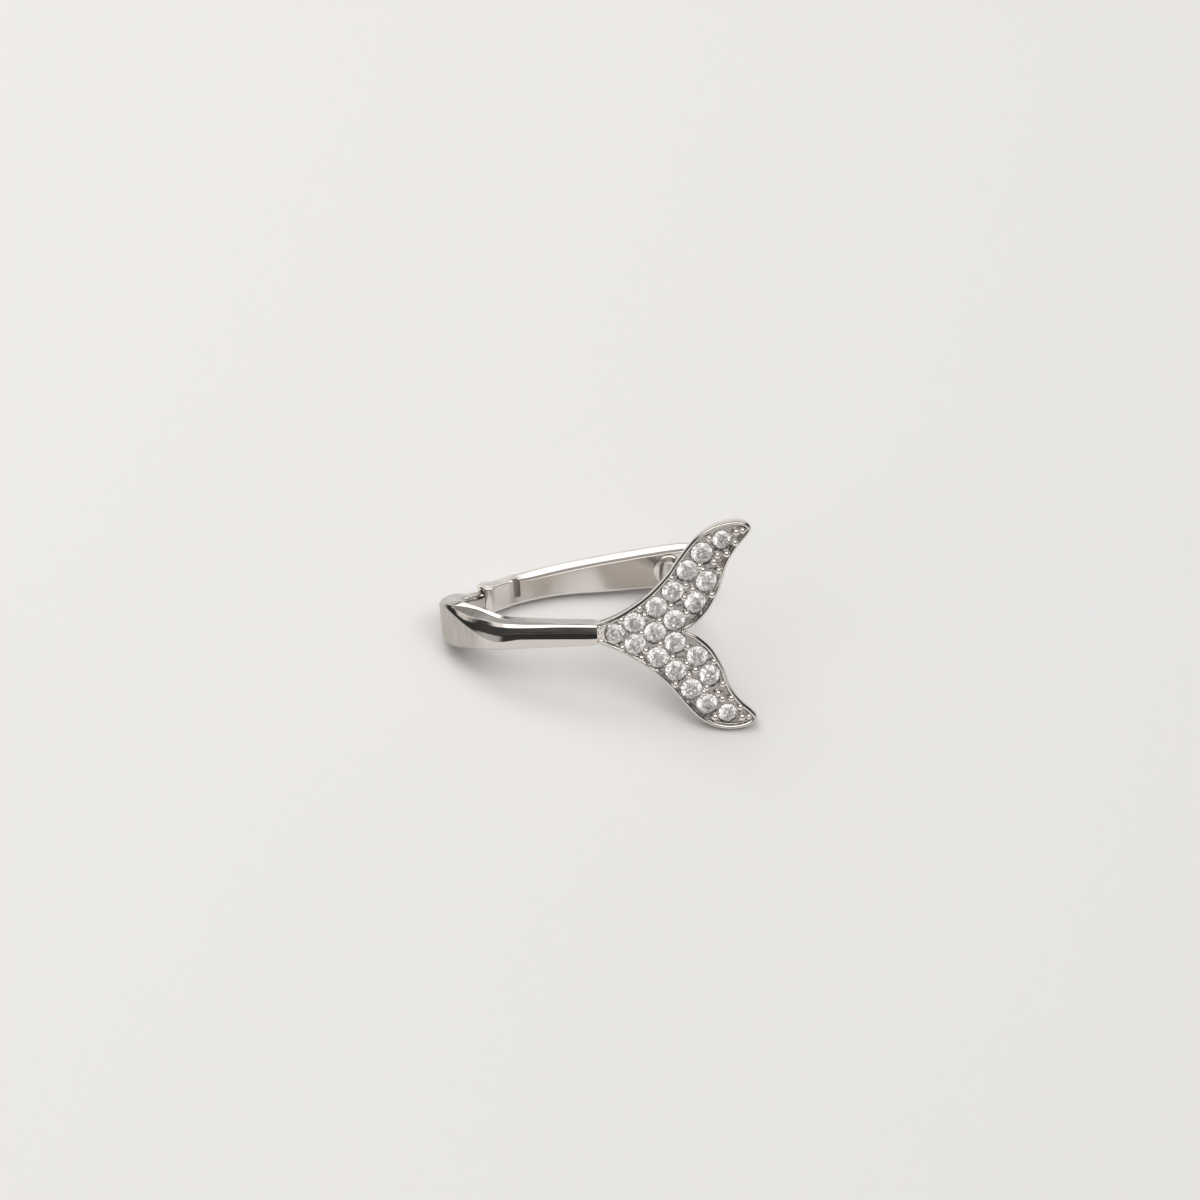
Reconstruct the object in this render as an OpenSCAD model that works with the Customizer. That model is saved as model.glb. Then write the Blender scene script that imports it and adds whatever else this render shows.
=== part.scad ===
// A hinged cartilage hoop with a stone-set whale tail, lying on its side.
// The hoop is drawn in its own plane first: x runs along the arms, y goes from the
// tail's face to the rear arm, and z is the hinge axis. It is laid down at the end.

/* [Tail] */
// Distance from the tail's root to the middle of a fluke's tip
tail_l = 6.3; // [5.8:0.1:6.8]
// Distance between the tips of the two flukes
tail_span = 8.14; // [7.8:0.02:8.4]
// Thickness of the tail, from its rim to its back
tail_t = 0.78; // [0.76:0.01:0.9]
// Radius of the tail's curved face
face_r = 17; // [14:0.5:24]
// Width of the polished rim
rim_w = 0.14; // [0.1:0.01:0.14]
// Depth of the floor below the rim
floor_d = 0.15; // [0.1:0.01:0.2]

/* [Stones] */
// Diameter of a main stone
stone_d = 0.88; // [0.8:0.01:0.89]
// Diameter of a stone at a fluke's tip
tip_stone_d = 0.76; // [0.6:0.01:0.8]
// Gap between a stone and its seat
seat_gap = 0.01; // [0.006:0.002:0.014]
// Diameter of a grain that holds the stones
grain_d = 0.2; // [0.16:0.01:0.22]

/* [Arms] */
// Thickness of the front arm at the tail
front_t = 0.88; // [0.8:0.01:0.92]
// Thickness of the rear arm
rear_t = 0.96; // [0.9:0.01:1.0]
// Height of the wide bend, along the hinge axis
bend_h = 1.84; // [1.6:0.02:1.9]
// Height of the rear arm's paddle
paddle_h = 1.6; // [1.5:0.02:1.66]

/* [Hinge and post] */
// Diameter of the hinge pin
pin_d = 0.36; // [0.32:0.01:0.4]
// Diameter of the fork's round barrel
knuckle_d = 0.86; // [0.8:0.01:0.88]
// Height of the fork, along the hinge axis
fork_h = 1.14; // [1.1:0.02:1.2]
// Height of the tongue inside the barrel
tongue_h = 0.54; // [0.4:0.02:0.56]
// Gap between the tongue and the barrel
side_gap = 0.03; // [0.02:0.01:0.05]
// Diameter of the ear post
post_d = 0.8; // [0.7:0.01:0.84]
// How deep the post's tip sits in the tail's back
socket_d = 0.16; // [0.1:0.01:0.18]

/* [Hidden] */
$fn = 48;

silver = [0.78, 0.77, 0.75];
white_stone = [0.92, 0.94, 0.96];

// Centre of the tail's cylindrical face
face_x = 1.7;
face_y = 0.44;
axis_y = face_y + face_r;

// Hinge axis and the post's place, in the hoop's plane
hinge = [-4.48, 5.16];
post_x = 2.94;

function stone_name(i) = str("stone_", i < 10 ? "0" : "", i);

// Depth of a pavilion, as a share of the stone's diameter
pavilion = 0.43;
// How far a seat's straight lip reaches to either side of the floor
seat_lip = 0.012;
// The side wall stands straight behind the rim, then leans in by the draft
rim_h = 0.25;
tail_draft = 0.12;
// Clearance round the post's tip, and how far it swings sideways on its way out
post_gap = 0.03;
slot_run = 0.12;
// The post's root inside the rear arm, and its collar
root_y = 7.72;
collar_y = 7.26;
collar_d = 1.2;
// The bevel at the post's tip, and its share taken off the radius
tip_bevel = 0.23;
bevel_share = 0.5;
// Clearance between the front arm's end and the barrel, and the barrel's wall
knuckle_gap = 0.04;
barrel_wall = 0.1;
// Clearance round the pin in the tongue and in the fork, and how much shorter than the fork the pin is
tongue_fit = 0.005;
fork_fit = 0.03;
pin_short = 0.04;
// The tongue's web: its direction, its length, and how far it reaches to its inner and outer side
web_angle = 217;
web_l = 0.75;
web_in = 0.10;
web_out = 0.26;
// The window in the barrel that the web swings in, between two directions from the pin
window_from = 98;
window_to = 241;
window_r = 0.9;
// The notch in the rear arm's inner face: the corner that it starts at, its size and its turn
notch_start = [-3.33, 5.31, -0.20];
notch_size = [0.3, 0.5, 1];
notch_turn = 34;
// How squarely the sections of the two arms are rounded: 2 is an ellipse
front_square = 2.6;
rear_square = 4;
// The length and the span that the tail's tables are drawn at
table_l = 6.3;
table_span = 8.24;
// A length that reaches right through the part
through = 12;
// The resting attitude, in degrees about x, y and z, and where the middle of the base is
rest_angles = [-22.66, -11.14, 0];
rest_shift = [-0.393, -3.523, 3.529];

// Half of the tail's outline as [along the tail, from its middle line],
// from the root, round the fluke's tip, to the notch between the flukes
fluke = [
    [-0.12, 0.40], [0.42, 0.62], [1.00, 0.92], [1.90, 1.56], [2.70, 2.37], [3.30, 3.21],
    [3.95, 3.97], [4.70, 4.41], [5.45, 4.53], [6.01, 4.41], [6.22, 4.13], [6.05, 3.83],
    [5.60, 3.33], [5.20, 2.66], [4.93, 1.80], [4.50, 0.93], [3.95, 0.32], [3.45, 0.00]
];

// Stones in mirrored pairs as [along the tail, from its middle line]
stone_pairs = [
    [1.40, 0.47], [2.30, 1.10], [3.01, 0.49], [3.00, 1.73], [3.89, 1.18], [3.61, 2.59],
    [4.37, 2.05], [4.22, 3.30], [5.05, 3.79]
];
// Stones on the tail's middle line
stone_middles = [0.58, 2.22];

// Grains in mirrored pairs as [along the tail, from its middle line]
grain_pairs = [
    [0.08, 0.31], [0.86, 0.60], [1.62, 1.08], [1.81, 0.77], [2.40, 0.52], [2.24, 1.67],
    [2.89, 1.12], [3.44, 1.45], [3.50, 0.74], [4.12, 0.67], [2.96, 2.32], [3.52, 1.97],
    [3.79, 1.76], [4.55, 1.46], [3.43, 3.15], [4.10, 2.77], [4.22, 2.57], [4.87, 2.48],
    [4.84, 3.14], [4.52, 3.91], [5.20, 3.16], [5.56, 3.60], [5.62, 4.05], [4.68, 2.88]
];
// A grain on the tail's middle line
grain_middle = 1.66;

// Front arm as [x, y, half height, half thickness], from inside the tail's root,
// along the arm and round the bend, to the tongue
front_path = [
    [0.44, 0.94, 0.26, 0.16], [-0.12, 0.82, 0.42, front_t / 2], [-1.61, 0.90, 0.50, 0.42],
    [-3.11, 1.05, 0.56, 0.44], [-4.12, 1.26, 0.65, 0.45], [-5.06, 1.81, 0.83, 0.47],
    [-5.72, 2.38, bend_h / 2, 0.48], [-5.96, 2.95, 0.80, 0.48], [-5.82, 3.62, 0.60, 0.45],
    [-5.49, 4.19, 0.47, 0.41], [-5.11, 4.63, 0.40, 0.34], [-4.73, 4.96, 0.36, 0.27]
];
// Rear arm in the same columns, from the fork to the paddle's round end
rear_path = [
    [-4.48, 5.19, fork_h / 2, 0.43], [-4.05, 5.56, 0.60, 0.46], [-3.59, 5.90, 0.55, rear_t / 2],
    [-2.89, 6.28, 0.53, rear_t / 2], [-1.99, 6.70, 0.56, rear_t / 2], [-0.94, 7.05, 0.61, rear_t / 2],
    [0.26, 7.34, 0.68, rear_t / 2], [1.56, 7.66, 0.74, rear_t / 2], [2.90, 7.94, paddle_h / 2, rear_t / 2],
    [3.70, 8.08, paddle_h / 2, 0.46], [4.20, 8.13, 0.64, 0.40], [4.47, 8.15, 0.36, 0.28]
];

// A smooth curve through the rows of a table, each row a point or a point with sizes
function at(rows, i) = rows[max(0, min(len(rows) - 1, i))];
function curve(a, b, c, d, t) =
    0.5 * (2 * b + (c - a) * t + (2 * a - 5 * b + 4 * c - d) * t * t + (3 * b - a - 3 * c + d) * t * t * t);
function smooth(rows, steps) = [
    for (i = [0 : len(rows) - 2], s = [0 : steps - 1])
        curve(at(rows, i - 1), rows[i], rows[i + 1], at(rows, i + 2), s / steps),
    rows[len(rows) - 1]
];

// The left-hand normal at a row of a smoothed table
function normal(rows, i) =
    let (d = at(rows, i + 1) - at(rows, i - 1), n = norm([d[0], d[1]])) [-d[1], d[0]] / n;

// A section of an arm, between an ellipse and a rectangle
function power(v, e) = sign(v) * pow(abs(v), e);
function ring(row, n, sides, squareness) = [
    for (k = [0 : sides - 1])
        let (a = 360 * k / sides, e = 2 / squareness, r = row[3] * power(cos(a), e))
        [row[0] + n[0] * r, row[1] + n[1] * r, row[2] * power(sin(a), e)]
];

// One closed skin through the sections of an arm
module loft(rows, sides, squareness) {
    last = len(rows) - 1;
    points = [for (i = [0 : last]) each ring(rows[i], normal(rows, i), sides, squareness)];
    walls = [
        for (i = [0 : last - 1], k = [0 : sides - 1])
            let (a = i * sides + k, b = i * sides + (k + 1) % sides)
            each [[a, a + sides, b], [b, a + sides, b + sides]]
    ];
    near_end = [for (k = [0 : sides - 1]) k];
    far_end = [for (k = [0 : sides - 1]) last * sides + sides - 1 - k];
    polyhedron(points, concat([near_end], walls, [far_end]));
}

// The depth of the tail's face, and its lean, at a place along the tail
function face_at(x) = axis_y - sqrt(face_r * face_r - (x - face_x) * (x - face_x));
function lean_at(x) = asin((x - face_x) / face_r);

// A point of a table, stretched to the tail's length and span
function sized(p) = [p[0] * tail_l / table_l, p[1] * tail_span / table_span];
half_outline = [for (p = smooth(fluke, 3)) sized(p)];
notch = len(half_outline) - 1;

// The same curve moved in by a distance, with its last point kept on the middle line,
// where the slant of the two flukes asks for a longer step
slant = 1.3;
function inset(d) = [
    for (i = [0 : notch])
        i == notch ? half_outline[i] - [slant * d, 0] : half_outline[i] - normal(half_outline, i) * d
];
function mirrored(half) = concat(half, [for (i = [len(half) - 2 : -1 : 0]) [half[i][0], -half[i][1]]]);

// The floor starts a rim's width behind the root's end
floor_start = 2;
floor_half = [for (i = [floor_start : notch]) inset(rim_w)[i]];

// One level of the tail's side wall: the outline at a depth behind the face, or at a fixed y
function level(half, depth) = [for (p = mirrored(half)) [p[0], face_at(p[0]) + depth, p[1]]];
function flat_level(half, y) = [for (p = mirrored(half)) [p[0], y, p[1]]];

// The tail's outline as a block whose wall leans in towards the back, and which reaches past both faces
module drafted_block() {
    before = -1;
    behind = 3;
    deep = tail_t + 0.05;
    back_inset = tail_draft * (deep - rim_h) / (tail_t - rim_h);
    levels = [
        flat_level(half_outline, before), level(half_outline, rim_h),
        level(inset(back_inset), deep), flat_level(inset(back_inset), behind)
    ];
    count = len(levels[0]);
    walls = [
        for (i = [0 : len(levels) - 2], k = [0 : count - 1])
            let (a = i * count + k, b = i * count + (k + 1) % count)
            each [[a, a + count, b], [b, a + count, b + count]]
    ];
    front = [for (k = [0 : count - 1]) k];
    back = [for (k = [0 : count - 1]) len(levels) * count - 1 - k];
    polyhedron([for (l = levels) each l], concat([front], walls, [back]));
}

// The ring between two cylinders about the axis of the tail's face
module face_shell(outer_r, inner_r) {
    translate([face_x, axis_y, 0]) difference() {
        cylinder(h = through, r = outer_r, center = true, $fn = 180);
        cylinder(h = through + 2, r = inner_r, center = true, $fn = 180);
    }
}

module tail_blank() {
    intersection() {
        drafted_block();
        face_shell(face_r, face_r - tail_t);
    }
}

module floor_cut() {
    intersection() {
        translate([0, 3, 0]) rotate([90, 0, 0]) linear_extrude(height = 5) polygon(mirrored(floor_half));
        face_shell(face_r + 1, face_r - floor_d);
    }
}

// Puts a thing that points out of the face at a place on the floor
module on_floor(place) {
    translate([face_x, axis_y, place[1]]) rotate([0, 0, lean_at(place[0])])
        translate([0, floor_d - face_r, 0]) rotate([90, 0, 0]) children();
}

// All stones as [along the tail, from its middle line, diameter]
last_pair = len(stone_pairs) - 1;
stones = concat(
    [for (x = stone_middles) [sized([x, 0])[0], 0, stone_d]],
    [for (i = [0 : last_pair], side = [1, -1])
        let (p = sized(stone_pairs[i])) [p[0], side * p[1], i == last_pair ? tip_stone_d : stone_d]]
);

// A grain is as large as the stones beside it allow
grain_gap = 0.01;
function grain_r(p) =
    min(grain_d / 2, min([for (s = stones) norm([p[0] - s[0], p[1] - s[1]]) - s[2] / 2 - seat_gap - grain_gap]));
grains = concat(
    [for (p = [sized([grain_middle, 0])]) [p[0], 0, grain_r(p)]],
    [for (row = grain_pairs, side = [1, -1]) let (p = sized(row)) [p[0], side * p[1], grain_r(p)]]
);

// A cup that clears a stone's pavilion, with a short straight lip that passes through the floor
module seat(d) {
    r = d / 2 + seat_gap;
    low = -pavilion * d - seat_gap;
    rotate_extrude()
        polygon([[0, low], [0.02, low], [r, -seat_lip], [r, seat_lip], [0, seat_lip]]);
}

// The blind slot in the tail's back that the post's tip swings into
module socket() {
    r = post_d / 2 + post_gap;
    back_y = face_at(post_x) + tail_t;
    for (x = [post_x, post_x + slot_run])
        translate([x, back_y - socket_d, 0]) rotate([-90, 0, 0]) cylinder(h = 2, r = r);
    translate([post_x, back_y - socket_d, -r]) cube([slot_run, 2, 2 * r]);
}

module hinge_cylinder(h, r) {
    translate([hinge[0], hinge[1], 0]) cylinder(h = h, r = r, center = true);
}

// The tongue: a round end about the pin, and a web back into the bend
tongue_r = knuckle_d / 2 - barrel_wall - side_gap;
slot_h = tongue_h + 2 * side_gap;
module tongue() {
    hinge_cylinder(tongue_h, tongue_r);
    translate([hinge[0], hinge[1], -tongue_h / 2]) rotate([0, 0, web_angle])
        translate([0, -web_out, 0]) cube([web_l, web_out + web_in, tongue_h]);
}

// The room for the tongue and its web, out of the rear arm
module tongue_room() {
    directions = [for (i = [0 : 5]) window_from + (window_to - window_from) * i / 5];
    hinge_cylinder(slot_h, tongue_r + side_gap);
    translate([hinge[0], hinge[1], -slot_h / 2]) linear_extrude(height = slot_h)
        polygon(concat([[0, 0]], [for (a = directions) window_r * [cos(a), sin(a)]]));
}

module tail_arm() {
    color(silver) {
        difference() {
            union() {
                difference() {
                    tail_blank();
                    floor_cut();
                }
                difference() {
                    loft(smooth(front_path, 3), 20, front_square);
                    hinge_cylinder(through, knuckle_d / 2 + knuckle_gap);
                }
                tongue();
            }
            for (s = stones) on_floor(s) seat(s[2]);
            socket();
            hinge_cylinder(through, pin_d / 2 + tongue_fit);
        }
        for (p = grains) on_floor(p) sphere(r = p[2]);
    }
}

module post() {
    tip_y = face_at(post_x) + tail_t - socket_d + post_gap;
    straight = root_y - tip_y - tip_bevel;
    translate([post_x, root_y, 0]) rotate([90, 0, 0]) {
        cylinder(h = straight, r = post_d / 2);
        translate([0, 0, straight])
            cylinder(h = tip_bevel, r1 = post_d / 2, r2 = post_d / 2 - bevel_share * tip_bevel);
        cylinder(h = root_y - collar_y, r = collar_d / 2);
    }
}

module rear_arm() {
    color(silver) difference() {
        union() {
            difference() {
                loft(smooth(rear_path, 3), 20, rear_square);
                translate(notch_start) rotate([0, 0, notch_turn]) cube(notch_size);
            }
            hinge_cylinder(fork_h, knuckle_d / 2);
            post();
        }
        tongue_room();
        hinge_cylinder(through, pin_d / 2 + fork_fit);
    }
}

module hinge_pin() {
    color(silver) hinge_cylinder(fork_h - pin_short, pin_d / 2);
}

// A round brilliant: table, stars, kites, girdle facets and pavilion, point down
module stone(d) {
    r = d / 2;
    eight = [for (k = [0 : 7]) k * 45];
    sixteen = [for (k = [0 : 15]) k * 22.5];
    table_r = 0.56 * r;
    kite_r = 0.80 * r;
    crown_h = 0.15 * d;
    girdle_h = 0.03 * d;
    lower_r = 0.22 * r;
    points = concat(
        [for (a = eight) [table_r * cos(a), table_r * sin(a), girdle_h + crown_h]],
        [for (a = eight) [kite_r * cos(a + 22.5), kite_r * sin(a + 22.5), girdle_h + 0.55 * crown_h]],
        [for (a = sixteen) [r * cos(a), r * sin(a), girdle_h]],
        [for (a = sixteen) [r * cos(a), r * sin(a), 0]],
        [for (a = eight) [lower_r * cos(a + 22.5), lower_r * sin(a + 22.5), -0.78 * pavilion * d]],
        [[0, 0, -pavilion * d]]
    );
    faces = concat(
        [[for (k = [0 : 7]) 7 - k]],
        [for (k = [0 : 7]) each
            let (n = (k + 1) % 8, g = 16 + 2 * k, m = 16 + 2 * k + 1, h = 16 + 2 * n)
            [[k, n, 8 + k], [k, 8 + k, g], [n, h, 8 + k], [8 + k, m, g], [8 + k, h, m]]],
        [for (k = [0 : 15]) each
            let (n = (k + 1) % 16) [[16 + k, 16 + n, 32 + k], [16 + n, 32 + n, 32 + k]]],
        [for (k = [0 : 7]) each
            let (p = (k + 7) % 8, n = (k + 1) % 8, g = 32 + 2 * k, m = g + 1, h = 32 + 2 * n)
            [[g, m, 48 + k], [m, h, 48 + k], [g, 48 + k, 56], [g, 56, 48 + p]]]
    );
    polyhedron(points, faces);
}

module set_stone(i) {
    color(white_stone) on_floor(stones[i]) stone(stones[i][2]);
}

// The hoop lies on its side: it is turned to its resting attitude and set down
module laid() {
    translate(rest_shift) rotate(rest_angles) children();
}

laid() tail_arm();
laid() rear_arm();
laid() hinge_pin();
for (i = [1 : 20])
    laid() set_stone(i - 1);
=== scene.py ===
import bpy, math
import numpy as np
from mathutils import Matrix, Vector
from mathutils.geometry import delaunay_2d_cdt

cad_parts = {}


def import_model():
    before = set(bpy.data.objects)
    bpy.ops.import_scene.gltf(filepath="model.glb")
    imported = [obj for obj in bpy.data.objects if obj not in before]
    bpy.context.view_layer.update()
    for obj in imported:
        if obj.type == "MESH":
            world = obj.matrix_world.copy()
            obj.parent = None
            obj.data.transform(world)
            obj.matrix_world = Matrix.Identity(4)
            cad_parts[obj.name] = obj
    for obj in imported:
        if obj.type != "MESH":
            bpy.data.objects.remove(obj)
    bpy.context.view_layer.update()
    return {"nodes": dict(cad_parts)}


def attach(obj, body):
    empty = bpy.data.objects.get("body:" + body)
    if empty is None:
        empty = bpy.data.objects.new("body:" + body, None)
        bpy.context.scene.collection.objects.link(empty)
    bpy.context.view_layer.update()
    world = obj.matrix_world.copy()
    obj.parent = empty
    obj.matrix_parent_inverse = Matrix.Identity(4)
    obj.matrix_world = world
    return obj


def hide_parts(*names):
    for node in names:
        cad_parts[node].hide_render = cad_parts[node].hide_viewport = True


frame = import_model()
RAW = 2

# The hoop's own frame, in millimetres: x along the arms, y from the tail's face to the rear arm, z along the
# hinge. It lies turned by these angles about x and y, then moved
REST = Matrix.Rotation(math.radians(-11.14), 3, "Y") @ Matrix.Rotation(math.radians(-22.66), 3, "X")
TURN = np.array(REST)
SHIFT = np.array([-0.393, -3.523, 3.529])

HINGE = np.array([-4.48, 5.16])
# The tail's face is a cylinder of this radius about an axis along z
FACE_X, FACE_R, AXIS_Y = 1.7, 17.0, 17.44
# The tail's thickness, its floor's depth, and the radius of the bead round its rim
TAIL_T, FLOOR_D, BEAD = 0.78, 0.15, 0.085
# The low relief of the floor is the sum of these waves, as [radians to the millimetre, direction in radians]
WAVES = [(19, 0.3), (23, 1.4), (27, 2.3), (17, 3.0)]
# Their depth, how far from the outline they start, and over how much they grow
WAVE_D, WAVE_FROM, WAVE_GROW = 0.0035, 0.24, 0.2
# The tail's span, by the span that its tables are drawn at
SPAN = 8.14 / 8.24
# The ear post's place along the arms, its radius, where it leaves the rear arm, and its collar's radius
POST_X, POST_R, POST_Y, COLLAR_R = 2.94, 0.40, 7.72, 0.60
# The blind socket in the tail's back: its radius, depth and length beyond round
SOCKET_R, SOCKET_D, SOCKET_LONG = 0.425, 0.16, 0.12
# The hinge, as [radius, half height]: its barrel, tongue, the room for the tongue, and the bore
BARREL, TONGUE, ROOM, BORE = (0.43, 0.565), (0.29, 0.26), (0.34, 0.31), (0.183, 0.56)
# The direction of the rear arm and of the tongue at the hinge, in degrees
REAR_TURN, TONGUE_TURN = 40.7, 217
# The directions between which the barrel is open for the tongue's web, in degrees, and how far out
WINDOW, WINDOW_REACH = (98, 241), 0.9
# The notch in the rear arm's inner face: its low and high corners, its place and its turn in degrees
NOTCH = (0, -0.1, -0.20), (0.3, 0.42, 0.80), (-3.33, 5.31), 34
# Points round a bar's section, and sections from one row of its table to the next
BAR_SIDES, BAR_STEPS = 120, 8 * RAW

# x and z along the upper half of the tail's outline, from its root to the notch between the flukes
FLUKE = [
    [-0.12, 0.30], [-0.09, 0.38], [-0.01, 0.45], [0.42, 0.62], [1.00, 0.92], [1.90, 1.56], [2.70, 2.37],
    [3.30, 3.21], [3.95, 3.97], [4.70, 4.41], [5.45, 4.53], [6.01, 4.41], [6.22, 4.13], [6.05, 3.83],
    [5.60, 3.33], [5.20, 2.66], [4.93, 1.80], [4.50, 0.93], [3.95, 0.32], [3.45, 0.00]]
# x and z of the stones above the middle line, each with one below, and x of those on it
STONE_PAIRS = [
    [1.40, 0.47], [2.30, 1.10], [3.01, 0.49], [3.00, 1.73], [3.89, 1.18], [3.61, 2.59],
    [4.37, 2.05], [4.22, 3.30], [5.05, 3.79]]
STONE_MIDDLES = [0.58, 2.22]
STONE_D, TIP_STONE_D = 0.88, 0.76
# A stone's seat: its play, its depth by the stone's size, and the width and depth of its lip
SEAT_PLAY, SEAT_DEEP, LIP_W, LIP_D = 0.01, 0.43, 0.06, 0.012
# x and z of the grains above the middle line, each with one below, and their radius
GRAIN_PAIRS = [
    [0.86, 0.60], [1.62, 1.08], [1.81, 0.77], [2.40, 0.52], [2.24, 1.67],
    [2.89, 1.12], [3.44, 1.45], [3.50, 0.74], [4.12, 0.67], [2.96, 2.32], [3.52, 1.97],
    [3.79, 1.76], [4.55, 1.46], [3.43, 3.15], [4.10, 2.77], [4.22, 2.57], [4.87, 2.48],
    [4.84, 3.14], [4.52, 3.91], [5.20, 3.16], [5.56, 3.60], [5.62, 4.05], [4.68, 2.88]]
GRAIN_R = 0.155
# x, z and radius of the grains with no pair
LONE_GRAINS = [(1.66, 0.0, 0.14), (5.88, 4.03, 0.15), (5.90, -4.03, 0.14)]
# Claws at the root, as [along the tail, from its middle line, radius, length for its width], and their depth
CLAWS = [(0.0, 0.335, 0.085, 1.0), (0.19, 0.36, 0.085, 1.2), (0.03, -0.29, 0.10, 1.5), (0.0, 0.06, 0.06, 1.4)]
CLAW_DEPTH = 0.055
# The front arm, from the tail to the tongue: x, y, half height, half thickness, height of the crease in the
# outer face, its lean above the crease in degrees, the height of the bevel along the top, and the radius of
# the top's edges
FRONT = [
    [0.44, 0.94, 0.26, 0.16, -0.05, 12, 0.04, 0.08], [-0.12, 0.82, 0.42, 0.44, -0.10, 12, 0.06, 0.10],
    [-1.61, 0.90, 0.50, 0.42, -0.10, 12, 0.11, 0.10], [-3.11, 1.05, 0.56, 0.44, -0.10, 12, 0.19, 0.10],
    [-4.12, 1.26, 0.65, 0.45, -0.22, 14, 0.28, 0.12], [-5.06, 1.81, 0.83, 0.47, 0.26, 22, 0.39, 0.16],
    [-5.72, 2.38, 0.92, 0.48, 0.76, 30, 0.10, 0.26], [-5.96, 2.95, 0.82, 0.48, 0.68, 30, 0.08, 0.30],
    [-5.82, 3.62, 0.68, 0.45, 0.54, 30, 0.08, 0.30], [-5.49, 4.19, 0.54, 0.41, 0.40, 30, 0.08, 0.26],
    [-5.11, 4.63, 0.34, 0.34, 0.20, 30, 0.08, 0.20], [-4.73, 4.96, 0.31, 0.27, 0.18, 30, 0.08, 0.16]]
# The rear arm, from the hinge to the paddle's end: x, y, half height, half thickness, how far the top slopes
# down to the inside, and how far to the outside
REAR = [
    [-4.48, 5.19, 0.57, 0.44, 0.005, 0.26], [-4.05, 5.56, 0.57, 0.44, 0.01, 0.26],
    [-3.59, 5.90, 0.54, 0.46, 0.03, 0.16], [-2.89, 6.28, 0.52, 0.48, 0.06, 0.08],
    [-1.99, 6.70, 0.54, 0.48, 0.07, 0.05], [-0.94, 7.05, 0.60, 0.48, 0.07, 0.05],
    [0.26, 7.34, 0.68, 0.48, 0.07, 0.05], [1.56, 7.66, 0.74, 0.48, 0.07, 0.05],
    [2.90, 7.94, 0.80, 0.48, 0.07, 0.05], [3.70, 8.08, 0.80, 0.46, 0.06, 0.05],
    [4.20, 8.13, 0.64, 0.40, 0.05, 0.05], [4.47, 8.15, 0.36, 0.28, 0.03, 0.05]]


def world(points):
    """Points of the hoop's own frame in the CAD's frame, in metres."""
    return (np.asarray(points, float) @ TURN.T + SHIFT) / 1000


def smooth(rows, steps):
    """A smooth curve through the rows of a table, with this many steps between two of them."""
    rows = np.array(rows, float)
    last = len(rows) - 1
    out = []
    for i in range(last):
        a, b = rows[max(0, i - 1)], rows[i]
        c, d = rows[i + 1], rows[min(last, i + 2)]
        for s in range(steps):
            t = s / steps
            out.append(0.5 * (2 * b + (c - a) * t + (2 * a - 5 * b + 4 * c - d) * t * t
                              + (3 * b - a - 3 * c + d) * t ** 3))
    out.append(rows[last])
    return np.array(out)


def normals(rows):
    """The sideways direction at each row, in the hoop's plane."""
    p = rows[:, :2]
    d = np.vstack([p[1] - p[0], p[2:] - p[:-2], p[-1] - p[-2]])
    d /= np.hypot(d[:, 0], d[:, 1])[:, None]
    return np.stack([-d[:, 1], d[:, 0]], 1)


def piece(name, verts, faces, body, material, replaces=(), uv=None):
    """A visible piece of silver that rides on a body and takes the place of CAD nodes."""
    mesh = bpy.data.meshes.new(name)
    mesh.from_pydata([tuple(v) for v in world(verts)], [], [tuple(int(i) for i in f) for f in faces])
    mesh.validate()
    mesh.polygons.foreach_set("use_smooth", [True] * len(mesh.polygons))
    if uv is not None:
        layer = mesh.uv_layers.new(name="UVMap")
        idx = np.empty(len(mesh.loops), int)
        mesh.loops.foreach_get("vertex_index", idx)
        layer.data.foreach_set("uv", np.asarray(uv)[idx].astype(np.float32).ravel())
    mesh.update()
    obj = bpy.data.objects.new(name, mesh)
    bpy.context.scene.collection.objects.link(obj)
    obj.data.materials.append(material)
    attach(obj, body)
    if replaces:
        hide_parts(*replaces)
    return obj


def section(corners, sides):
    """A closed outline with rounded corners, its points spread by length and by turn."""
    out = []
    for i, (r, z, radius) in enumerate(corners):
        p = np.array([r, z])
        a = np.array(corners[i - 1][:2]) - p
        b = np.array(corners[(i + 1) % len(corners)][:2]) - p
        long_a, long_b = np.hypot(*a), np.hypot(*b)
        a, b = a / long_a, b / long_b
        half = math.acos(max(-1.0, min(1.0, float(a @ b)))) / 2
        back = min(radius / math.tan(half), 0.48 * long_a, 0.48 * long_b)
        radius = back * math.tan(half)
        centre = p + (a + b) / np.hypot(*(a + b)) * radius / math.sin(half)
        first, last = p + a * back - centre, p + b * back - centre
        start = math.atan2(first[1], first[0])
        sweep = (math.atan2(last[1], last[0]) - start + math.pi) % (2 * math.pi) - math.pi
        for t in start + sweep * np.linspace(0, 1, 13):
            out.append(centre + radius * np.array([math.cos(t), math.sin(t)]))
    out = np.vstack([out, out[:1]])
    d = np.diff(out, axis=0)
    length = np.hypot(d[:, 0], d[:, 1])
    angle = np.arctan2(d[:, 1], d[:, 0])
    turn = np.abs((angle - np.roll(angle, 1) + math.pi) % (2 * math.pi) - math.pi)
    cum = np.concatenate([[0], np.cumsum(length / length.sum() + turn / turn.sum())])
    t = np.linspace(0, cum[-1], sides, endpoint=False)
    return np.interp(t, cum, out[:, 0]), np.interp(t, cum, out[:, 1])


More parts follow.
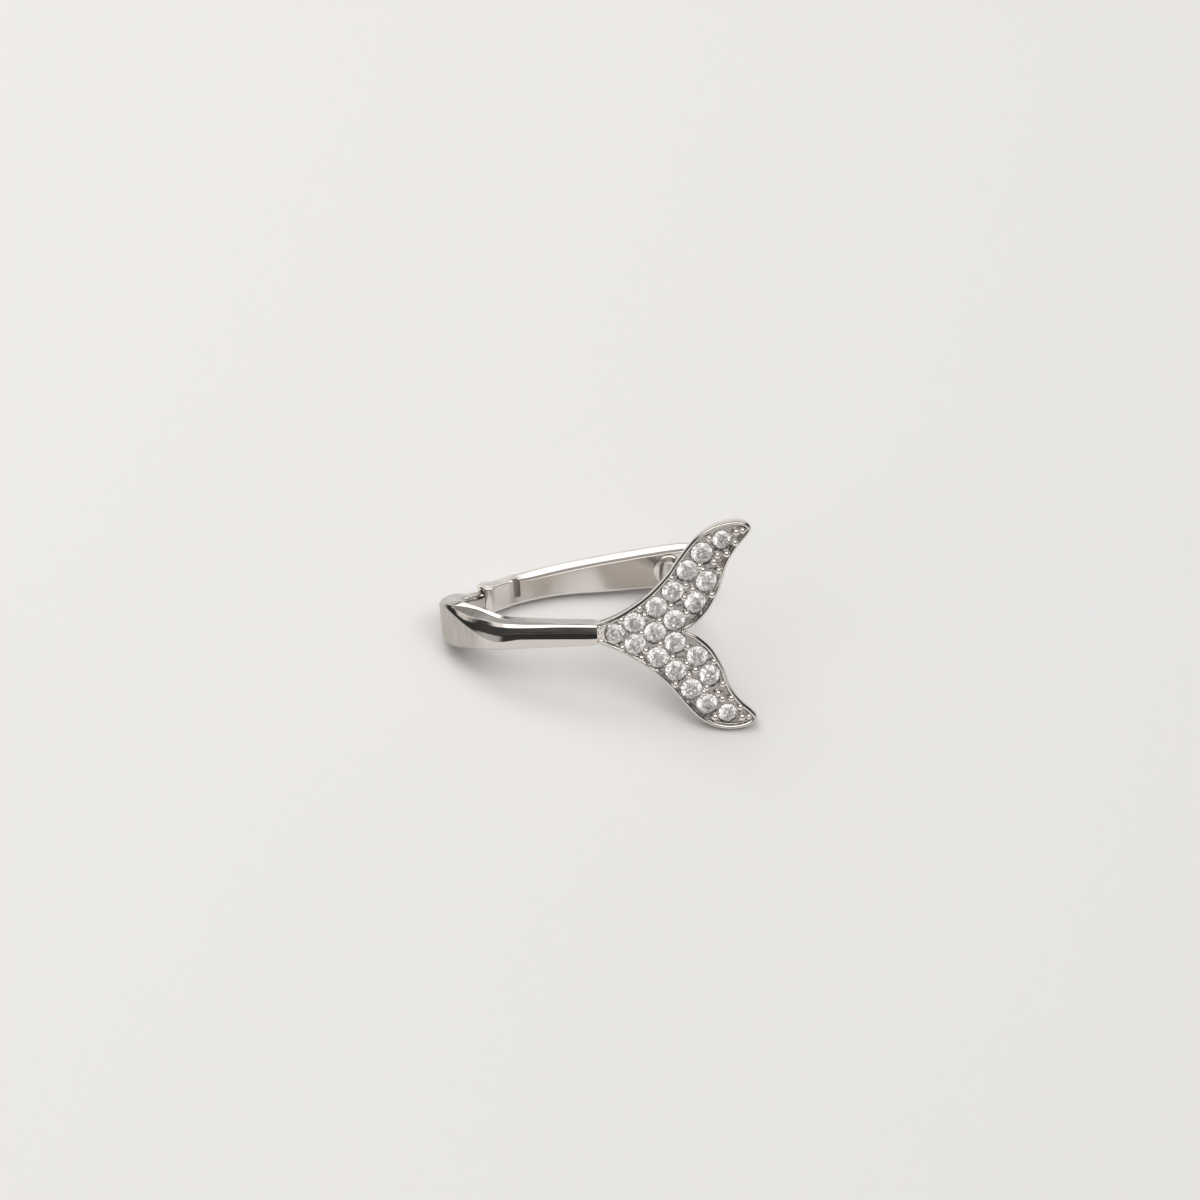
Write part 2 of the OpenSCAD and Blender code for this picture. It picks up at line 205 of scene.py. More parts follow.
def front_corners(h, t, crease, lean, bevel, edge):
    """The outer face is upright to the crease, leans back in two strips, and ends in two bevels."""
    strip = (h - bevel - crease) / 2
    middle = t - math.tan(math.radians(lean - 4)) * strip
    upper = middle - math.tan(math.radians(lean + 5)) * strip
    steep = 0.03 + 0.42 * bevel
    shelf = upper - 0.73 * steep
    return [(-t, -h, 0.12), (t - 0.06, -h, 0.34 * h), (t, crease, 0.03), (middle, crease + strip, 0.8),
            (upper, h - bevel, 0.06), (shelf, h - bevel + steep, 0.10),
            (shelf - 1.36 * max(0.01, bevel - steep), h, edge), (-t, h, edge)]


def rear_corners(h, t, slope, drop):
    """The top is level along its outer side, and slopes down from there to the inside."""
    return [(-t, -h, 0.10), (t, -h, 0.26), (t, h - drop, 0.20), (0.6 * t - 0.6 * drop, h, 0.12),
            (0.25 * t - 0.6 * drop, h - 0.08 * slope, 0.4), (-0.7 * t, h - 0.65 * slope, 0.12),
            (-t, h - 1.5 * slope, 0.04)]


def loft(rows, corners, sides, steps):
    """A solid bar through the rows' sections, with its UV in millimetres along and around it."""
    rows = smooth(rows, steps)
    n = normals(rows)
    verts, uv = [], []
    run = np.concatenate([[0], np.cumsum(np.hypot(*np.diff(rows[:, :2], axis=0).T))])
    for i, row in enumerate(rows):
        r, z = section(corners(*row[2:]), sides)
        verts.append(np.stack([row[0] + n[i, 0] * r, row[1] + n[i, 1] * r, z], 1))
        around = np.cumsum(np.hypot(np.diff(r, prepend=r[0]), np.diff(z, prepend=z[0])))
        uv.append(np.stack([np.full(sides, run[i]), around], 1))
    count = len(rows)
    faces = []
    for i in range(count - 1):
        for k in range(sides):
            a, b = i * sides + k, i * sides + (k + 1) % sides
            faces.append((a, b, b + sides, a + sides))
    faces.append(list(range(sides))[::-1])
    faces.append([(count - 1) * sides + k for k in range(sides)])
    return np.vstack(verts), faces, np.vstack(uv)


def cut(obj, cutters, sharp=40):
    """Takes the cutters out of a piece, and leaves plain mesh."""
    for c in cutters:
        m = obj.modifiers.new("cut", "BOOLEAN")
        m.operation, m.solver, m.object = "DIFFERENCE", "EXACT", c
    bpy.context.view_layer.update()
    deps = bpy.context.evaluated_depsgraph_get()
    mesh = bpy.data.meshes.new_from_object(obj.evaluated_get(deps), preserve_all_data_layers=True,
                                           depsgraph=deps)
    obj.modifiers.clear()
    obj.data = mesh
    for c in cutters:
        bpy.data.objects.remove(c)
    mesh.set_sharp_from_angle(angle=math.radians(sharp))
    return obj


def tool(verts, faces):
    """A cutter, which cut() removes again."""
    mesh = bpy.data.meshes.new("tool")
    mesh.from_pydata([tuple(v) for v in world(verts)], [], faces)
    mesh.update()
    obj = bpy.data.objects.new("tool", mesh)
    bpy.context.scene.collection.objects.link(obj)
    return obj


def lathe(profile, sides, place=lambda p: p):
    """Turns a profile of (radius, height) about z, and closes it with flat ends."""
    profile = np.array(profile, float)
    a = np.linspace(0, 2 * math.pi, sides, endpoint=False)
    verts = np.vstack([np.stack([r * np.cos(a), r * np.sin(a), np.full(sides, h)], 1) for r, h in profile])
    faces = []
    for i in range(len(profile) - 1):
        for k in range(sides):
            p, q = i * sides + k, i * sides + (k + 1) % sides
            faces.append((p, q, q + sides, p + sides))
    faces.append(list(range(sides))[::-1])
    faces.append([(len(profile) - 1) * sides + k for k in range(sides)])
    return place(verts), faces


BOX_FACES = [(3, 2, 1, 0), (4, 5, 6, 7), (0, 1, 5, 4), (1, 2, 6, 5), (2, 3, 7, 6), (3, 0, 4, 7)]


def turned_box(low, high, place, degrees):
    """A box between two corners, turned about z and moved to a place in the hoop's plane."""
    c, s = math.cos(math.radians(degrees)), math.sin(math.radians(degrees))
    plan = ((low[0], low[1]), (high[0], low[1]), (high[0], high[1]), (low[0], high[1]))
    corners = np.array([[x, y, z] for z in (low[2], high[2]) for x, y in plan])
    return np.stack([place[0] + c * corners[:, 0] - s * corners[:, 1],
                     place[1] + s * corners[:, 0] + c * corners[:, 1], corners[:, 2]], 1)


def rounded(r, half, edge, steps=5):
    """The profile of a cylinder with rounded edges."""
    out = []
    for t in np.linspace(0, math.pi / 2, steps):
        out.append((r - edge + edge * math.sin(t), edge - half - edge * math.cos(t)))
    for t in np.linspace(0, math.pi / 2, steps):
        out.append((r - edge + edge * math.cos(t), half - edge + edge * math.sin(t)))
    return out


def at_hinge(points):
    """Moves points from the origin to the hinge."""
    return points + [*HINGE, 0]


def drum(r, half, sides):
    """A cutter round the hinge's axis."""
    return tool(*lathe([(r, -half), (r, half)], sides, at_hinge))


# Materials
def new_material(name):
    """A material, with its nodes, its links and its main shader."""
    m = bpy.data.materials.new(name)
    m.use_nodes = True
    nodes, links = m.node_tree.nodes, m.node_tree.links
    return m, nodes, links, nodes["Principled BSDF"]


def relief(nodes, links, p, value, strength, height):
    """Bump of a height in millimetres."""
    b = nodes.new("ShaderNodeBump")
    b.inputs["Strength"].default_value = strength
    b.inputs["Distance"].default_value = height / 1000
    links.new(value, b.inputs["Height"])
    links.new(b.outputs["Normal"], p.inputs["Normal"])


def streaks(nodes, links, coords, scale):
    """Noise stretched along the brushing."""
    grid = nodes.new("ShaderNodeMapping")
    grid.inputs["Scale"].default_value = scale
    links.new(coords, grid.inputs["Vector"])
    noise = nodes.new("ShaderNodeTexNoise")
    noise.inputs["Scale"].default_value = 1.0
    noise.inputs["Detail"].default_value = 4.0
    links.new(grid.outputs["Vector"], noise.inputs["Vector"])
    return noise.outputs["Fac"]


def spread(nodes, links, value, low, high, out_low, out_high):
    """Maps a value from one range to another."""
    n = nodes.new("ShaderNodeMapRange")
    for name, v in (("From Min", low), ("From Max", high), ("To Min", out_low), ("To Max", out_high)):
        n.inputs[name].default_value = v
    links.new(value, n.inputs["Value"])
    return n.outputs["Result"]


def silver(name, rough, streak, scale=(3.0, 60.0, 1.0), bump=0.0003, coords="UV", upright=None, tone=1.0):
    """Brushed silver. upright gives where along the arm the brushing turns upright, and its scale there;
    there the colour also gets painted shade in streaks.
    """
    m, nodes, links, p = new_material(name)
    p.inputs["Metallic"].default_value = 1.0
    p.inputs["Base Color"].default_value = (0.735 * tone, 0.695 * tone, 0.66 * tone, 1)
    tex = nodes.new("ShaderNodeTexCoord")
    value = streaks(nodes, links, tex.outputs[coords], scale)
    if upright:
        split = nodes.new("ShaderNodeSeparateXYZ")
        links.new(tex.outputs[coords], split.inputs["Vector"])
        share = spread(nodes, links, split.outputs["X"], *upright[0], 0.0, 1.0)
        both = nodes.new("ShaderNodeMix")
        links.new(share, both.inputs["Factor"])
        links.new(value, both.inputs["A"])
        links.new(streaks(nodes, links, tex.outputs[coords], upright[1]), both.inputs["B"])
        value = both.outputs["Result"]
        # Painted shade: the bend's colour is darkened in streaks along the upright brushing
        painted_shade_amount = nodes.new("ShaderNodeMath")
        painted_shade_amount.operation = "MULTIPLY"
        links.new(share, painted_shade_amount.inputs[0])
        links.new(spread(nodes, links, value, 0.25, 0.75, 0.45, 1.0), painted_shade_amount.inputs[1])
        shade = nodes.new("ShaderNodeMix")
        shade.data_type = "RGBA"
        shade.inputs[6].default_value = p.inputs["Base Color"].default_value[:]
        shade.inputs[7].default_value = (0.44, 0.405, 0.375, 1)
        links.new(painted_shade_amount.outputs[0], shade.inputs["Factor"])
        links.new(shade.outputs[2], p.inputs["Base Color"])
    links.new(spread(nodes, links, value, 0.35, 0.75, rough, rough + streak), p.inputs["Roughness"])
    relief(nodes, links, p, value, 0.35, bump)
    return m


# The arms' silver is painted a tenth lighter than the tail's: painted light for the rear arm's bright inner
# face
ARM = silver("polished_arm", 0.13, 0.10, tone=1.1)
# The front arm's silver, with painted shade darkening the bend in streaks
BEND = silver("brushed_bend_painted_shade", 0.03, 0.06, (0.9, 14.0, 1.0), 0.003, "UV", ((4.9, 5.5), (12.0, 1.0, 1.0)))
# Satin silver, painted a quarter darker: painted shade in the notch's walls and on the post between the rear
# arm and the tail
SATIN_AND_SHADE = silver("satin_and_painted_shade", 0.30, 0.10, (6000, 6000, 6000), 0.001, "Object", tone=0.75)
# The sunk floor's silver is rougher, and painted two thirds as light: painted shade between the stones
PAVE = silver("pave_floor", 0.12, 0.25, (11000, 11000, 11000), 0.02, "Object", tone=0.66)
TAIL = silver("polished_tail", 0.06, 0.06, (9000, 9000, 9000), 0.002, "Object")
# The grains' silver is painted lighter still: painted light on the grains, the pin and the seats under the
# stones
GRAIN = silver("bright_grain", 0.05, 0.03, (6000, 6000, 6000), 0.001, "Object", tone=1.15)


def stone_material():
    """Clear stone, with small cells in its bump for the facets that the photograph shows inside it."""
    m, nodes, links, p = new_material("white_stone")
    p.inputs["Base Color"].default_value = (1.0, 0.99, 0.975, 1)
    p.inputs["Roughness"].default_value = 0.0
    p.inputs["IOR"].default_value = 2.15
    p.inputs["Transmission Weight"].default_value = 0.88
    tex = nodes.new("ShaderNodeTexCoord")
    cells = nodes.new("ShaderNodeTexVoronoi")
    cells.inputs["Scale"].default_value = 7000
    links.new(tex.outputs["Object"], cells.inputs["Vector"])
    relief(nodes, links, p, cells.outputs["Distance"], 0.5, 0.02)
    return m


STONE = stone_material()

# Front arm, round the bend to the tongue
verts, faces, uv = loft(FRONT, front_corners, BAR_SIDES, BAR_STEPS)
front = piece("front_arm", verts, faces, "front", BEND, replaces=["tail_arm"], uv=uv)
# It ends clear of the barrel, and just inside the tail's root
root = tool(turned_box((-0.10, -1.0, -1.0), (1.0, 0.62, 1.0), (0, 0), 0), BOX_FACES)
cut(front, [drum(BARREL[0] + 0.04, 1.5, 96), root], 14)

# The tongue: a round end about the pin and a web back into the bend
tongue_v, tongue_f = lathe(rounded(*TONGUE, 0.02), 96, at_hinge)
web = turned_box((0, -0.25, -TONGUE[1]), (0.75, 0.09, TONGUE[1]), HINGE, TONGUE_TURN)
tongue_f += [tuple(i + len(tongue_v) for i in f) for f in BOX_FACES]
tongue = piece("tongue", np.vstack([tongue_v, web]), tongue_f, "front", ARM, replaces=["tail_arm"])
tongue.data.set_sharp_from_angle(angle=math.radians(40))


# Tail
def lean(x):
    """The face's turn about z at x."""
    return np.arcsin((x - FACE_X) / FACE_R)


def on_face(x, z, depth):
    """A point at a depth under the tail's face."""
    a = lean(x)
    rad = FACE_R - depth
    return np.stack([FACE_X + rad * np.sin(a), AXIS_Y - rad * np.cos(a), z], 1)


def surface_y(x):
    """How far the tail's face is along y at x."""
    return AXIS_Y - np.sqrt(FACE_R ** 2 - (x - FACE_X) ** 2)


half = smooth(FLUKE, 12) * [1, SPAN]
outline = np.vstack([half, (half[:-1] * [1, -1])[::-1]])


def distance(p, poly):
    """How far each point is from a closed outline."""
    a, b = poly, np.roll(poly, -1, axis=0)
    ab = b - a
    out = np.full(len(p), 1e9)
    for s in range(0, len(p), 4000):
        q = p[s:s + 4000, None, :] - a[None]
        t = np.clip((q * ab).sum(2) / np.maximum((ab ** 2).sum(1), 1e-12), 0, 1)
        d = q - t[..., None] * ab
        out[s:s + 4000] = np.sqrt((d ** 2).sum(2).min(1))
    return out


def inside(p, poly):
    """Which points are inside a closed outline."""
    x, z = p[:, 0], p[:, 1]
    hit = np.zeros(len(p), bool)
    a, b = poly, np.roll(poly, -1, axis=0)
    for (x1, z1), (x2, z2) in zip(a, b):
        if z1 == z2:
            continue
        c = (z1 > z) != (z2 > z)
        hit ^= c & (x < (x2 - x1) * (z - z1) / (z2 - z1) + x1)
    return hit


def offset(poly, d):
    """Points at a distance inside the outline."""
    nxt, prv = np.roll(poly, -1, axis=0), np.roll(poly, 1, axis=0)
    e1, e2 = poly - prv, nxt - poly
    out = []
    for p, u, v in zip(poly, e1, e2):
        a1, a2 = math.atan2(u[1], u[0]), math.atan2(v[1], v[0])
        turn = (a2 - a1 + math.pi) % (2 * math.pi) - math.pi
        steps = max(1, int(abs(turn) / 0.25)) if turn > 0 else 1
        for k in range(steps):
            a = a1 + turn * ((k + 0.5) / steps)
            out.append(p + d * np.array([math.sin(a), -math.cos(a)]))
    out = np.array(out)
    keep = inside(out, poly) & (distance(out, poly) > d - 0.004)
    return out[keep]


stones = [(x, 0.0, STONE_D) for x in STONE_MIDDLES]
for x, z in STONE_PAIRS:
    size = TIP_STONE_D if [x, z] == STONE_PAIRS[-1] else STONE_D
    stones += [(x, z * SPAN, size), (x, -z * SPAN, size)]


def clean(points, size):
    """Drops points closer than a size to an earlier one."""
    seen, out = {}, []
    for p in points:
        k = (int(round(p[0] / size)), int(round(p[1] / size)))
        near = False
        for i in (-1, 0, 1):
            for j in (-1, 0, 1):
                q = seen.get((k[0] + i, k[1] + j))
                if q is not None and math.hypot(q[0] - p[0], q[1] - p[1]) < size:
                    near = True
        if not near:
            seen[k] = p
            out.append(p)
    return np.array(out)


def triangulate(poly, points):
    """Delaunay triangles inside a closed outline through extra points."""
    n = len(poly)
    pts = [Vector(p) for p in poly] + [Vector(p) for p in points]
    edges = [(i, (i + 1) % n) for i in range(n)]
    v, _, f, _, _, _ = delaunay_2d_cdt(pts, edges, [], 1, 1e-7)
    return np.array([tuple(p) for p in v]), [tuple(t) for t in f]


# Where the rim's bead and its inner wall get their points, from the outline inwards, and where the rest start
RINGS = [0.006, 0.016, 0.030, 0.047, 0.066, 0.085, 0.104, 0.123, 0.140, 0.154, 0.170, 0.180, 0.190, 0.200,
         0.215]
INNER = 0.22


def grid_inside(poly, spacing):
    """A square grid of points inside an outline as large as the tail's."""
    x, z = np.meshgrid(np.arange(-0.2, 6.4, spacing), np.arange(-4.6, 4.6, spacing))
    grid = np.stack([x.ravel(), z.ravel()], 1)
    return grid[inside(grid, poly)]


def seat_rings(x, z, d):
    """Points for a stone's seat and for its lip."""
    r = d / 2 + SEAT_PLAY
    a = np.linspace(0, 2 * math.pi, 48, endpoint=False)
    out = []
    for q in (0.3 * r, 0.6 * r, 0.8 * r, 0.94 * r, r, r + 0.2 * LIP_W, r + 0.5 * LIP_W, r + LIP_W):
        out.append(np.stack([x + q * np.cos(a) * math.cos(lean(x)), z + q * np.sin(a)], 1))
    return np.vstack(out)


ring_points = np.vstack([offset(outline, d) for d in RINGS])
seat_points = np.vstack([seat_rings(*s) for s in stones])
inner = np.vstack([seat_points, grid_inside(outline, 0.10 / RAW)])
inner = inner[inside(inner, outline)]
inner = inner[distance(inner, outline) > INNER]
points = clean(np.vstack([ring_points, inner]), 0.011)
flat, tris = triangulate(outline, points)


def step(t):
    """A smooth step from 0 to 1."""
    t = np.clip(t, 0, 1)
    return t * t * (3 - 2 * t)


def face_depth(p):
    """How deep the tail's front lies at each point: bead, floor with its relief, and the stones' seats."""
    d = distance(p, outline)
    bead = BEAD - np.sqrt(np.maximum(0, BEAD ** 2 - (BEAD - np.minimum(d, 2 * BEAD)) ** 2))
    waves = sum(np.sin(k * (p[:, 0] * math.cos(a) + p[:, 1] * math.sin(a)) + 5 * a) for k, a in WAVES)
    low = FLOOR_D + WAVE_D * waves * step((d - WAVE_FROM) / WAVE_GROW)
    fall = np.maximum(bead, bead + (low - bead) * step((d - 2 * BEAD) / 0.03))
    depth = np.where(d > 2 * BEAD, fall, bead)
    for x, z, size in stones:
        r = size / 2 + SEAT_PLAY
        q = np.hypot((p[:, 0] - x) / math.cos(lean(x)), p[:, 1] - z)
        bowl = FLOOR_D + (SEAT_DEEP * size + SEAT_PLAY) * (1 - q / r)
        near = step((q - r) / LIP_W)
        lip = (FLOOR_D + LIP_D) * (1 - near) + depth * near
        depth = np.where(q < r, bowl, np.where(q < r + LIP_W, lip, depth))
    return depth


depth = face_depth(flat)
n_out = len(outline)
top = on_face(flat[:, 0], flat[:, 1], depth)
# The outline's own points keep their place, so the wall drops straight from them
top[:n_out, 0] = outline[:, 0]
top[:n_out, 1] = surface_y(outline[:, 0]) + BEAD


def wall(poly, y_offset, inset):
    """A ring of the tail's side, so far behind the face and inside the outline."""
    nxt, prv = np.roll(poly, -1, axis=0), np.roll(poly, 1, axis=0)
    t = nxt - prv
    t /= np.hypot(t[:, 0], t[:, 1])[:, None]
    q = poly + inset * np.stack([t[:, 1], -t[:, 0]], 1)
    return np.stack([q[:, 0], surface_y(poly[:, 0]) + y_offset, q[:, 1]], 1)


# The tail's side, as [how far behind the face, how far inside the outline]
walls = [(0.11, 0.0), (0.14, 0.0), (0.25, 0.0), (0.32, 0.012), (0.50, 0.055), (0.68, 0.097), (0.73, 0.112),
         (0.765, 0.135), (TAIL_T, 0.165)]
rings = [wall(outline, y, i) for y, i in walls]
verts = [top] + rings
base = len(top)
faces = [tuple(t) for t in tris]
previous = list(range(n_out))
for k in range(len(walls)):
    now = [base + k * n_out + i for i in range(n_out)]
    for i in range(n_out):
        j = (i + 1) % n_out
        faces.append((previous[i], previous[j], now[j], now[i]))
    previous = now
back_outline = rings[-1][:, [0, 2]]
back_grid = grid_inside(back_outline, 0.25)
back_grid = back_grid[distance(back_grid, back_outline) > 0.12]
# Rings close to the edge keep its rounding out of the flat back
back_grid = np.vstack([offset(back_outline, 0.02), offset(back_outline, 0.06), back_grid])
a = np.linspace(0, 2 * math.pi, 64, endpoint=False)
# The socket is round, with a straight stretch in its middle
socket_points = [np.stack([POST_X + q * np.cos(a) + SOCKET_LONG * (np.cos(a) > 0), q * np.sin(a)], 1)
                 for q in (SOCKET_R + 0.025, SOCKET_R + 0.007, SOCKET_R, 0.3, 0.15)]
back_points = clean(np.vstack(socket_points + [back_grid]), 0.006)
back_flat, back_tris = triangulate(back_outline, back_points)
past = back_flat[:, 0] - POST_X
past = np.where(past > SOCKET_LONG / 2, past - SOCKET_LONG, past)
q = np.hypot(past, back_flat[:, 1])
back_y = surface_y(back_flat[:, 0]) + TAIL_T - SOCKET_D * step((SOCKET_R + 0.008 - q) / 0.006)
back = np.stack([back_flat[:, 0], back_y, back_flat[:, 1]], 1)
start = base + len(walls) * n_out
index = {i: (previous[i] if i < n_out else start + i - n_out) for i in range(len(back_flat))}
verts.append(back[n_out:])
for t in back_tris:
    faces.append(tuple(index[i] for i in t)[::-1])
tail = piece("whale_tail", np.vstack(verts), faces, "front", TAIL, replaces=["tail_arm"])
tail.data.set_sharp_from_angle(angle=math.radians(50))
# The sunk floor is rougher than the rim and painted darker, as shade between the stones; the seats under the
# stones get the grain silver, painted lighter
tail.data.materials.append(PAVE)
tail.data.materials.append(GRAIN)
tris = np.array(tris)
sunk = (depth[tris] > 0.09).all(1) & (distance(flat[tris].mean(1), outline) > 2 * BEAD)
finish_and_painted_light = np.zeros(len(faces), int)
finish_and_painted_light[:len(tris)] = np.where((depth[tris] > FLOOR_D + 0.02).any(1), 2, sunk)
tail.data.polygons.foreach_set("material_index", finish_and_painted_light)


# Grains between the stones
def ball(r, rings=10, sides=20):
    """A closed ball at the origin, with its poles along z."""
    v, f = [(0, 0, r)], []
    for i in range(1, rings):
        t = math.pi * i / rings
        for k in range(sides):
            a = 2 * math.pi * k / sides
            v.append((r * math.sin(t) * math.cos(a), r * math.sin(t) * math.sin(a), r * math.cos(t)))
    v.append((0, 0, -r))
    for k in range(sides):
        f.append((0, 1 + k, 1 + (k + 1) % sides))
    for i in range(rings - 2):
        for k in range(sides):
            a, b = 1 + i * sides + k, 1 + i * sides + (k + 1) % sides
            f.append((a, a + sides, b + sides, b))
    last = len(v) - 1
    for k in range(sides):
        f.append((last, last - sides + (k + 1) % sides, last - sides + k))
    return np.array(v), f


spots = LONE_GRAINS + [(x, side * z * SPAN, GRAIN_R) for x, z in GRAIN_PAIRS for side in (1, -1)]
gv, gf, count = [], [], 0
for x, z, r in spots:
    # A grain overlaps the edge of a stone a little, and stays on the rim's inner side
    r = min(r, min(math.hypot(x - sx, z - sz) - sd / 2 for sx, sz, sd in stones) + 0.10,
            distance(np.array([[x, z]]), outline)[0] - 0.05)
    v, f = ball(r)
    gv.append(v + on_face(np.array([x]), np.array([z]), FLOOR_D - 0.4 * r))
    gf += [tuple(i + count for i in face) for face in f]
    count += len(v)
for x, z, r, long in CLAWS:
    v, f = ball(r)
    gv.append(v * [long, 1, 1] + on_face(np.array([x]), np.array([z]), CLAW_DEPTH))
    gf += [tuple(i + count for i in face) for face in f]
    count += len(v)
piece("grains", np.vstack(gv), gf, "front", GRAIN, replaces=["tail_arm"])

# Rear arm
verts, faces, uv = loft(REAR, rear_corners, BAR_SIDES, BAR_STEPS)
rear = piece("rear_arm_body", verts, faces, "rear", ARM, replaces=["rear_arm"], uv=uv)


def tongue_room():
    """The cutters that leave room for the pin and the tongue, and a window for the tongue's swing."""
    turns = np.radians(np.linspace(*WINDOW, 12))
    n = len(turns) + 1
    plan = np.vstack([[HINGE], HINGE + WINDOW_REACH * np.stack([np.cos(turns), np.sin(turns)], 1)])
    verts = [(x, y, z) for z in (-ROOM[1], ROOM[1]) for x, y in plan]
    faces = [tuple(range(n))[::-1], tuple(range(n, 2 * n))]
    faces += [(i, (i + 1) % n, (i + 1) % n + n, i + n) for i in range(n)]
    return [drum(*ROOM, 96), drum(*BORE, 64), tool(verts, faces)]


notch = tool(turned_box(*NOTCH), BOX_FACES)
# The notch's walls are satin and painted darker, with painted shade in the recess: the rear arm's second
# material
rear.data.materials.append(SATIN_AND_SHADE)
notch.data.materials.append(SATIN_AND_SHADE)
notch.data.materials.append(SATIN_AND_SHADE)
notch.data.polygons.foreach_set("material_index", [1] * len(BOX_FACES))
cut(rear, [notch] + tongue_room(), 20)

# The barrel round the pin
verts, faces = lathe(rounded(*BARREL, 0.09, 8), 96, at_hinge)
barrel = piece("barrel", verts, faces, "rear", ARM, replaces=["rear_arm"])
# The outer half of the barrel's top slopes down, in line with the arm's
c, t = math.cos(math.radians(REAR_TURN)), math.sin(math.radians(REAR_TURN))
wedge = np.array([(x, y, z) for x in (-1, 1) for y, z in ((0.0, 0.58), (1.0, 0.0), (1.0, 1.0), (0.0, 1.0))])
wedge = np.stack([HINGE[0] + c * wedge[:, 0] - t * wedge[:, 1],
                  HINGE[1] + t * wedge[:, 0] + c * wedge[:, 1], wedge[:, 2]], 1)
wedge_faces = [(0, 1, 2, 3), (7, 6, 5, 4), (0, 4, 5, 1), (1, 5, 6, 2), (2, 6, 7, 3), (3, 7, 4, 0)]
cut(barrel, tongue_room() + [tool(wedge, wedge_faces)])

# Ear post and its collar. The post ends in the socket, just clear of its bottom
TIP_GAP, POST_SIDES = 0.03, 72
length = POST_Y - (surface_y(POST_X) + TAIL_T - SOCKET_D + TIP_GAP)
# Their profiles, as [radius, distance from the rear arm]
collar = [(COLLAR_R, 0), (COLLAR_R, 0.448), (COLLAR_R - 0.003, 0.457), (COLLAR_R - 0.012, 0.46), (0.43, 0.46),
          (0.408, 0.468)]
shaft = [(POST_R, 0.49), (POST_R, length - 0.23), (0.39, length - 0.18), (0.335, length - 0.05),
         (0.31, length - 0.012), (0.28, length)]
v, f = lathe(collar + shaft, POST_SIDES, lambda p: np.stack([POST_X + p[:, 0], POST_Y - p[:, 2], p[:, 1]], 1))
# The post is in the darker satin silver, painted shade between the rear arm and the tail
post = piece("ear_post", v, f, "rear", SATIN_AND_SHADE, replaces=["rear_arm"])
post.data.set_sharp_from_angle(angle=math.radians(40))
# The collar is polished like the arm
post.data.materials.append(ARM)
post.data.polygons.foreach_set("material_index", [int(i < len(collar) * POST_SIDES) for i in range(len(f))])

# Packed nodes that stay: the stones and the pin
for name, obj in frame["nodes"].items():
    if name.startswith("stone_") or name == "hinge_pin":
        obj.data.materials.clear()
        obj.data.materials.append(STONE if name.startswith("stone_") else GRAIN)

# Floor
mesh = bpy.data.meshes.new("floor")
mesh.from_pydata([(-0.6, -0.6, 0), (0.6, -0.6, 0), (0.6, 0.6, 0), (-0.6, 0.6, 0)], [], [(0, 1, 2, 3)])
floor = bpy.data.objects.new("floor", mesh)
bpy.context.scene.collection.objects.link(floor)
m, nodes, links, p = new_material("pale_floor")
p.inputs["Base Color"].default_value = (0.735, 0.73, 0.73, 1)
p.inputs["Roughness"].default_value = 0.8
mesh.materials.append(m)

# Soft studio light: a bright softbox overhead, a dark room in front, pale panels behind and at the sides
w = bpy.data.worlds.new("studio")
bpy.context.scene.world = w
w.use_nodes = True
nodes, links = w.node_tree.nodes, w.node_tree.links


def math_node(op, *values):
    """The output of a Math node, from numbers and other nodes' outputs."""
    n = nodes.new("ShaderNodeMath")
    n.operation = op
    for i, v in enumerate(values):
        if isinstance(v, (int, float)):
            n.inputs[i].default_value = v
        else:
            links.new(v, n.inputs[i])
    return n.outputs[0]


tex = nodes.new("ShaderNodeTexCoord")
sep = nodes.new("ShaderNodeSeparateXYZ")
links.new(tex.outputs["Generated"], sep.inputs["Vector"])
side, depth_axis, height = sep.outputs["X"], sep.outputs["Y"], sep.outputs["Z"]
# 0 at the horizon before the hoop, 0.5 overhead, 1 at the horizon behind it
arc = math_node("DIVIDE", math_node("ARCTAN2", height, math_node("MULTIPLY", depth_axis, -1.0)), math.pi)
# The brightest panel. A ramp holds no colour over 1, so its values are parts of this
STRENGTH = 2.4


def panels(value, stops):
    """Warm grey brightness, as [place, brightness], along a value from 0 to 1."""
    n = nodes.new("ShaderNodeValToRGB")
    for i, (at, v) in enumerate(stops):
        e = n.color_ramp.elements[-(i > 0)] if i in (0, len(stops) - 1) else n.color_ramp.elements.new(at)
        e.position = at
        e.color = (v / STRENGTH, v * 0.985 / STRENGTH, v * 0.965 / STRENGTH, 1)
    links.new(value, n.inputs["Fac"])
    return n.outputs["Color"]


over = panels(arc, [
    (0.0, 0.88), (0.040, 0.80), (0.048, 0.05), (0.11, 0.03), (0.14, 0.13), (0.16, 0.04), (0.20, 0.14),
    (0.27, 0.24), (0.30, 2.4), (0.48, 2.4), (0.49, 0.22), (0.56, 0.45), (0.70, 0.50), (0.85, 0.26),
    (0.93, 0.40), (0.938, 2.2), (0.975, 2.2), (0.98, 0.10), (0.99, 0.10), (1.0, 0.65)])
beside = panels(math_node("MAXIMUM", height, 0.0), [
    (0.0, 0.55), (0.16, 0.50), (0.20, 0.06), (0.66, 0.06), (0.72, 1.0), (1.0, 1.2)])
mix = nodes.new("ShaderNodeMix")
mix.data_type = "RGBA"
reach = nodes.new("ShaderNodeMapRange")
reach.interpolation_type = "SMOOTHSTEP"
reach.inputs["From Min"].default_value = 0.50
reach.inputs["From Max"].default_value = 0.62
